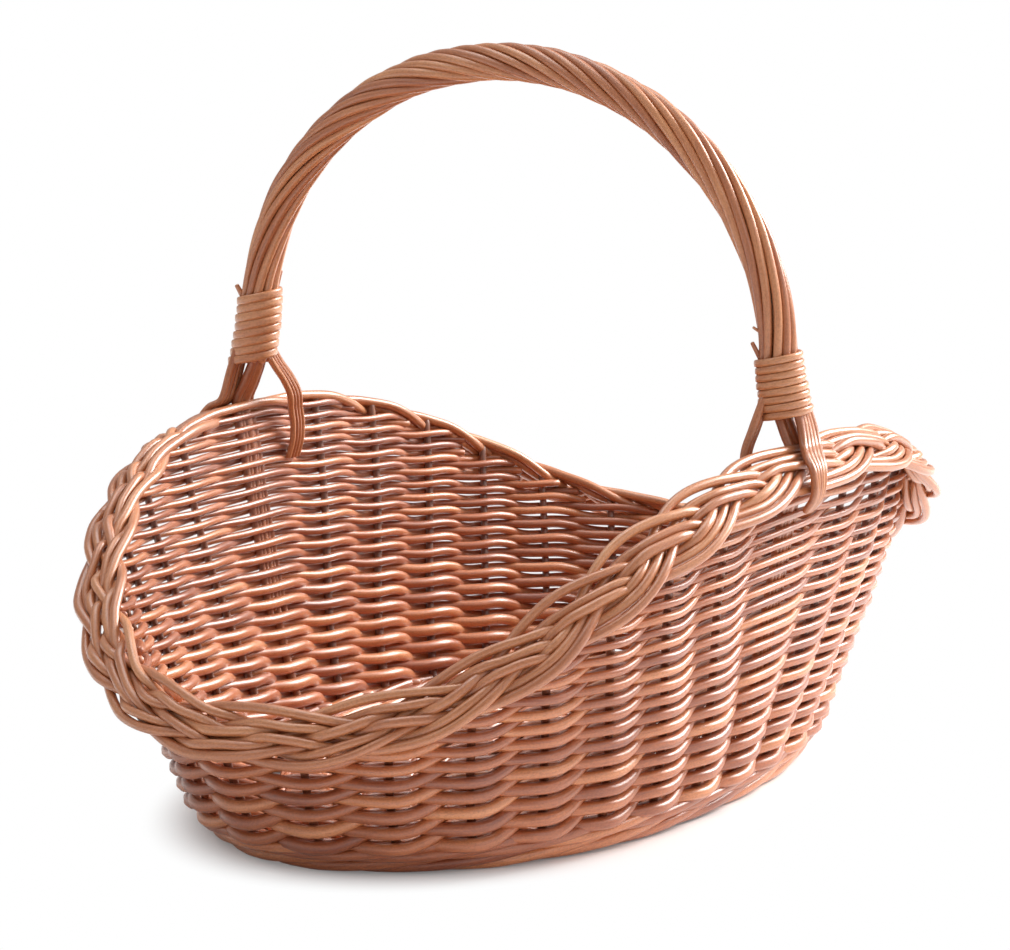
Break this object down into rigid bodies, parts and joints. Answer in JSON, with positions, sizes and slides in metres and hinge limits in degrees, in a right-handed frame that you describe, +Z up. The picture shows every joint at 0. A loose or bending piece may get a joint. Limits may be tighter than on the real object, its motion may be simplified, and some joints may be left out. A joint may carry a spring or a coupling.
{
  "type": "oval wicker basket",
  "caption": "Oval woven willow basket with a saddle-shaped plaited rim, low at both ends, and a fixed roped handle arching across the middle.",
  "frame": {"origin": "centre of the bottom of the whole basket's box, on the surface that the basket rests on", "axes": "+Z up; +X along the long axis of the oval, towards the slightly higher end; the handle arches across the middle in the plane of Y and Z"},
  "size_m": [0.484, 0.3458, 0.3442],
  "materials": {
    "wall_willow": "satin round willow rods, warm golden brown",
    "stake_willow": "satin round willow sticks, red-brown",
    "rod_willow": "satin, slightly glossy willow rods, warm tan",
    "split_cane": "satin split willow binding, warm tan"
  },
  "bodies": {
    "root": {"base_cross_stick_1": "stake_willow", "base_cross_stick_2": "stake_willow", "base_cross_stick_3": "stake_willow", "base_cross_stick_4": "stake_willow", "base_long_stick_1": "stake_willow", "base_long_stick_2": "stake_willow", "base_long_stick_3": "stake_willow", "base_weave_mat": "wall_willow", "foot_wale": "wall_willow", "side_stake_01": "stake_willow", "side_stake_02": "stake_willow", "side_stake_03": "stake_willow", "side_stake_04": "stake_willow", "side_stake_05": "stake_willow", "side_stake_06": "stake_willow", "side_stake_07": "stake_willow", "side_stake_08": "stake_willow", "side_stake_09": "stake_willow", "side_stake_10": "stake_willow", "side_stake_11": "stake_willow", "side_stake_12": "stake_willow", "side_stake_13": "stake_willow", "side_stake_14": "stake_willow", "side_stake_16": "stake_willow", "side_stake_17": "stake_willow", "side_stake_18": "stake_willow", "side_stake_19": "stake_willow", "side_stake_20": "stake_willow", "side_stake_21": "stake_willow", "side_stake_22": "stake_willow", "side_stake_23": "stake_willow", "side_stake_24": "stake_willow", "side_stake_25": "stake_willow", "side_stake_26": "stake_willow", "side_stake_27": "stake_willow", "side_stake_28": "stake_willow", "side_stake_29": "stake_willow", "wall_weave_band_1": "wall_willow", "wall_weave_band_2": "wall_willow", "wall_weave_band_3": "wall_willow", "wall_weave_band_4": "wall_willow", "wall_weave_band_5": "wall_willow", "wall_weave_band_6": "wall_willow", "wall_weave_band_7": "wall_willow", "border_plait_strand_1": "rod_willow", "border_plait_strand_2": "rod_willow", "border_plait_strand_3": "rod_willow", "handle_bow": "rod_willow", "handle_rope_rod_1": "rod_willow", "handle_rope_rod_2": "rod_willow", "handle_rope_rod_3": "rod_willow", "handle_rope_rod_4": "rod_willow", "handle_rope_rod_5": "rod_willow", "handle_rope_rod_6": "rod_willow", "handle_binding_left": "split_cane", "handle_binding_right": "split_cane", "rope_tail_left_outer": "rod_willow", "rope_tail_left_inner": "rod_willow", "rope_tail_right_outer": "rod_willow", "rope_tail_right_inner": "rod_willow"}
  },
  "joints": []
}
